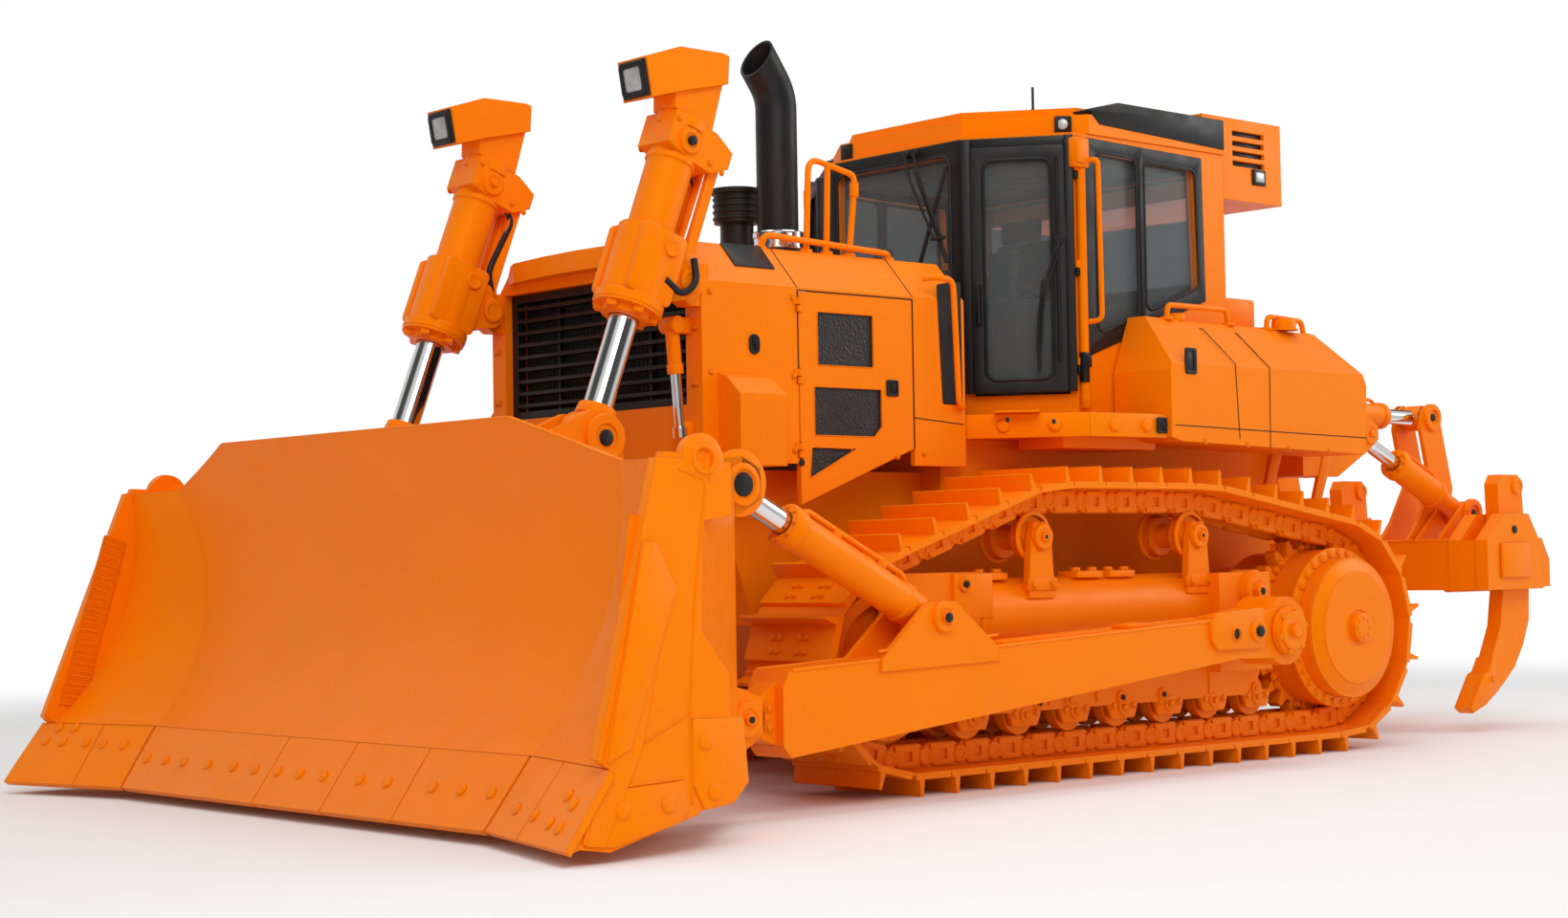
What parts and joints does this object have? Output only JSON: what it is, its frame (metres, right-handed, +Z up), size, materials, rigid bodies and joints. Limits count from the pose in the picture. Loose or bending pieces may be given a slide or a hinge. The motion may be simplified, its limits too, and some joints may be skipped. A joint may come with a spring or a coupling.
{
  "type": "track-laying bulldozer with semi-U blade and parallelogram ripper",
  "caption": "Track-laying bulldozer: curved blade on push arms with lift and tilt cylinders, hooded engine, glazed cab with doors, rear ripper on parallel links.",
  "frame": {"origin": "centre of the box's base, on the ground under the machine", "axes": "+X forward to the blade, +Y to the machine's left, +Z up"},
  "size_m": [8.3203, 4.5214, 3.5708],
  "materials": {
    "orange_paint": "satin machine enamel",
    "black_coat": "black heat-resistant coat",
    "tinted_glass": "tinted safety glass",
    "chrome": "hard chrome",
    "seat_fabric": "dark woven upholstery and trim",
    "engine_grey": "painted casting",
    "pin_steel": "ground steel"
  },
  "bodies": {
    "hull": {"main_frame": "orange_paint", "ripper_base": "orange_paint", "engine_block": "engine_grey", "hood": "orange_paint", "grille": "black_coat", "exhaust": "black_coat", "pre_cleaner": "black_coat", "cab_frame": "orange_paint", "cab_glass": "tinted_glass", "cab_roof": "orange_paint", "roof_cover": "black_coat", "cooling_unit": "orange_paint", "seat": "seat_fabric", "console": "seat_fabric", "track_left": "orange_paint", "track_right": "orange_paint", "running_wheels_left": "orange_paint", "running_wheels_right": "orange_paint", "track_frame_left": "orange_paint", "track_frame_right": "orange_paint", "final_drive_left": "orange_paint", "final_drive_right": "orange_paint", "platform_left": "orange_paint", "platform_right": "orange_paint", "side_tank_left": "orange_paint", "side_tank_right": "orange_paint"},
    "push_arms": {"push_arm_left": "orange_paint", "push_arm_right": "orange_paint"},
    "blade": {"blade": "orange_paint", "cutting_edges": "orange_paint"},
    "lift_barrel_left": {"lift_barrel_left": "orange_paint", "lamp_bracket_left": "orange_paint"},
    "lift_rod_left": {"lift_rod_left": "chrome"},
    "lift_barrel_right": {"lift_barrel_right": "orange_paint", "lamp_bracket_right": "orange_paint"},
    "lift_rod_right": {"lift_rod_right": "chrome"},
    "tilt_barrel_left": {"tilt_barrel_left": "orange_paint"},
    "tilt_rod_left": {"tilt_rod_left": "chrome"},
    "tilt_barrel_right": {"tilt_barrel_right": "orange_paint"},
    "tilt_rod_right": {"tilt_rod_right": "chrome"},
    "ripper_links": {"ripper_links": "orange_paint"},
    "ripper_pins": {"ripper_pins": "pin_steel"},
    "ripper_beam": {"ripper_beam": "orange_paint", "ripper_shanks": "orange_paint"},
    "upper_barrels": {"upper_barrels": "orange_paint"},
    "upper_rods": {"upper_rods": "chrome"},
    "ram_barrels": {"ram_barrels": "orange_paint"},
    "ram_rods": {"ram_rods": "chrome"},
    "cab_door_left": {"cab_door_left": "orange_paint", "door_glass_left": "tinted_glass"},
    "cab_door_right": {"cab_door_right": "orange_paint", "door_glass_right": "tinted_glass"},
    "side_door_left": {"side_door_left": "orange_paint"},
    "side_door_right": {"side_door_right": "orange_paint"}
  },
  "joints": [
    {"name": "blade_lift", "type": "hinge", "parent": "hull", "child": "push_arms", "pos_m": [-0.756, 0, 0.668], "axis": [0, -1, 0], "range_deg": [-5.5, 6]},
    {"name": "blade_pitch", "type": "hinge", "parent": "push_arms", "child": "blade", "pos_m": [2.79, 0, 0.42], "axis": [0, 1, 0], "range_deg": [-4, 4]},
    {"name": "lift_swing_left", "type": "hinge", "parent": "hull", "child": "lift_barrel_left", "pos_m": [2.39, 0.75, 2.29], "axis": [0, 1, 0], "range_deg": [-3.36, 3.08]},
    {"name": "lift_stroke_left", "type": "slide", "parent": "lift_barrel_left", "child": "lift_rod_left", "axis": [0.3597, 0, -0.9331], "range_m": [-0.3862, 0.354]},
    {"name": "lift_swing_right", "type": "hinge", "parent": "hull", "child": "lift_barrel_right", "pos_m": [2.39, -0.75, 2.29], "axis": [0, 1, 0], "range_deg": [-3.36, 3.08]},
    {"name": "lift_stroke_right", "type": "slide", "parent": "lift_barrel_right", "child": "lift_rod_right", "axis": [0.3597, 0, -0.9331], "range_m": [-0.3862, 0.354]},
    {"name": "tilt_swing_left", "type": "hinge", "parent": "push_arms", "child": "tilt_barrel_left", "pos_m": [1.68, 1.54, 0.8], "axis": [0, 1, 0], "range_deg": [-1.41, 1.41]},
    {"name": "tilt_stroke_left", "type": "slide", "parent": "tilt_barrel_left", "child": "tilt_rod_left", "axis": [0.8909, 0, 0.4543], "range_m": [-0.06, 0.06]},
    {"name": "tilt_swing_right", "type": "hinge", "parent": "push_arms", "child": "tilt_barrel_right", "pos_m": [1.68, -1.54, 0.8], "axis": [0, 1, 0], "range_deg": [-1.41, 1.41]},
    {"name": "tilt_stroke_right", "type": "slide", "parent": "tilt_barrel_right", "child": "tilt_rod_right", "axis": [0.8909, 0, 0.4543], "range_m": [-0.06, 0.06]},
    {"name": "ripper_lift", "type": "hinge", "parent": "hull", "child": "ripper_links", "pos_m": [-2.18, 0, 0.9], "axis": [0, 1, 0], "range_deg": [-24, 26]},
    {"name": "ripper_level", "type": "hinge", "parent": "ripper_links", "child": "ripper_pins", "pos_m": [-3.15, 0, 0.888], "axis": [0, 1, 0], "range_deg": [-26.52, 24.48]},
    {"name": "ripper_tilt", "type": "hinge", "parent": "ripper_pins", "child": "ripper_beam", "pos_m": [-3.15, 0, 0.888], "axis": [0, 1, 0], "range_deg": [-7, 7]},
    {"name": "upper_swing", "type": "hinge", "parent": "hull", "child": "upper_barrels", "pos_m": [-2.59, 0, 1.87], "axis": [0, 1, 0], "range_deg": [-24.48, 26.52]},
    {"name": "upper_stroke", "type": "slide", "parent": "upper_barrels", "child": "upper_rods", "axis": [-0.9999, 0, -0.0124], "range_m": [-0.1213, 0.1213]},
    {"name": "ram_swing", "type": "hinge", "parent": "ripper_beam", "child": "ram_barrels", "pos_m": [-3.67, 0, 1.275], "axis": [0, 1, 0], "range_deg": [-19.68, 21.32]},
    {"name": "ram_stroke", "type": "slide", "parent": "ram_barrels", "child": "ram_rods", "axis": [0.9147, 0, 0.4041], "range_m": [-0.1766, 0.1631]},
    {"name": "cab_door_left_hinge", "type": "hinge", "parent": "hull", "child": "cab_door_left", "pos_m": [-0.03805, 0.96401, 2.5], "axis": [0, 0, 1], "range_deg": [0, 95]},
    {"name": "cab_door_right_hinge", "type": "hinge", "parent": "hull", "child": "cab_door_right", "pos_m": [-0.03805, -0.96401, 2.5], "axis": [0, 0, -1], "range_deg": [0, 95]},
    {"name": "side_door_left_hinge", "type": "hinge", "parent": "hull", "child": "side_door_left", "pos_m": [1.712, 0.806, 1.9], "axis": [0, 0, -1], "range_deg": [0, 90]},
    {"name": "side_door_right_hinge", "type": "hinge", "parent": "hull", "child": "side_door_right", "pos_m": [1.712, -0.806, 1.9], "axis": [0, 0, 1], "range_deg": [0, 90]}
  ],
  "couplings": [
    {"joint": "lift_swing_left", "follows": "blade_lift", "ratio": -0.54935},
    {"joint": "lift_stroke_left", "follows": "blade_lift", "m_per_rad": -3.616},
    {"joint": "lift_swing_right", "follows": "blade_lift", "ratio": -0.54935},
    {"joint": "lift_stroke_right", "follows": "blade_lift", "m_per_rad": -3.616},
    {"joint": "tilt_swing_left", "follows": "blade_pitch", "ratio": 0.34463},
    {"joint": "tilt_stroke_left", "follows": "blade_pitch", "m_per_rad": 0.84262},
    {"joint": "tilt_swing_right", "follows": "blade_pitch", "ratio": 0.34463},
    {"joint": "tilt_stroke_right", "follows": "blade_pitch", "m_per_rad": 0.84262},
    {"joint": "ripper_level", "follows": "ripper_lift", "ratio": -1},
    {"joint": "upper_swing", "follows": "ripper_lift", "ratio": 1},
    {"joint": "upper_stroke", "follows": "ripper_tilt", "m_per_rad": -0.97342},
    {"joint": "ram_swing", "follows": "ripper_lift", "ratio": 0.80399},
    {"joint": "ram_stroke", "follows": "ripper_lift", "m_per_rad": -0.38164}
  ]
}
